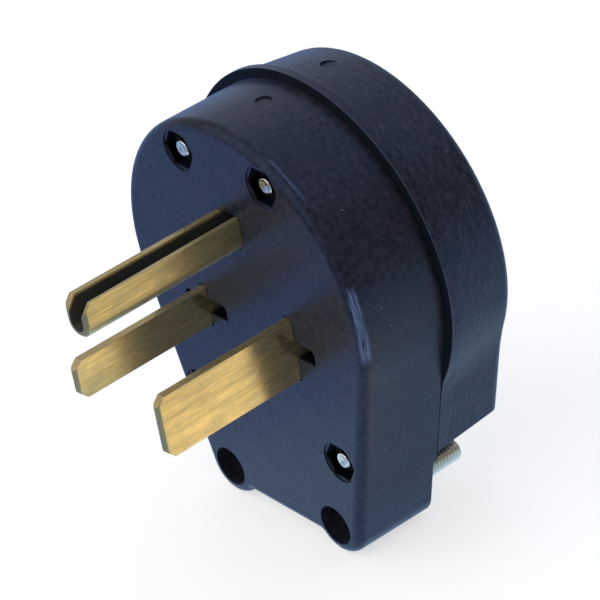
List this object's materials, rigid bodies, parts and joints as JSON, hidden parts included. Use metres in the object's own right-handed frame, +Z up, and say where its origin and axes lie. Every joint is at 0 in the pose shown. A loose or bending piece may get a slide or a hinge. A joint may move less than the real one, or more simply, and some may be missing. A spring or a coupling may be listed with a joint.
{
  "type": "angle power plug",
  "caption": "Heavy-duty angle power plug: domed two-part moulded body with a tapering tail, flat brass blades, a U-channel ground pin, nut pockets and a cord clamp.",
  "frame": {"origin": "on the floor under the mating face, at mid width, with the plug standing on the two lobes of its tail", "axes": "+X to the right as one faces the mating face, +Y from the mating face to the back of the cover, +Z up from the tail to the dome; the blades point along -Y"},
  "size_m": [0.0662, 0.066, 0.0826],
  "materials": {
    "housing_plastic": "semi-gloss blue-black moulded plastic",
    "blade_brass": "satin rolled brass",
    "zinc_steel": "bright zinc plate",
    "blackened_steel": "black oxide"
  },
  "bodies": {
    "root": {"front_housing": "housing_plastic", "rear_cover": "housing_plastic", "wide_blade": "blade_brass", "narrow_blade": "blade_brass", "ground_pin": "blade_brass", "wide_blade_wire_plate": "zinc_steel", "narrow_blade_wire_plate": "zinc_steel", "ground_wire_plate": "zinc_steel", "wide_blade_terminal_screw": "zinc_steel", "narrow_blade_terminal_screw": "zinc_steel", "ground_terminal_screw": "zinc_steel", "cord_clamp": "zinc_steel", "clamp_screw_left": "zinc_steel", "clamp_screw_right": "zinc_steel", "cover_screw_upper_left": "zinc_steel", "cover_screw_upper_right": "zinc_steel", "cover_screw_lower_left": "zinc_steel", "cover_screw_lower_right": "zinc_steel", "hex_nut_upper_left": "blackened_steel", "hex_nut_upper_right": "blackened_steel", "hex_nut_lower_left": "blackened_steel", "hex_nut_lower_right": "blackened_steel"}
  },
  "joints": []
}
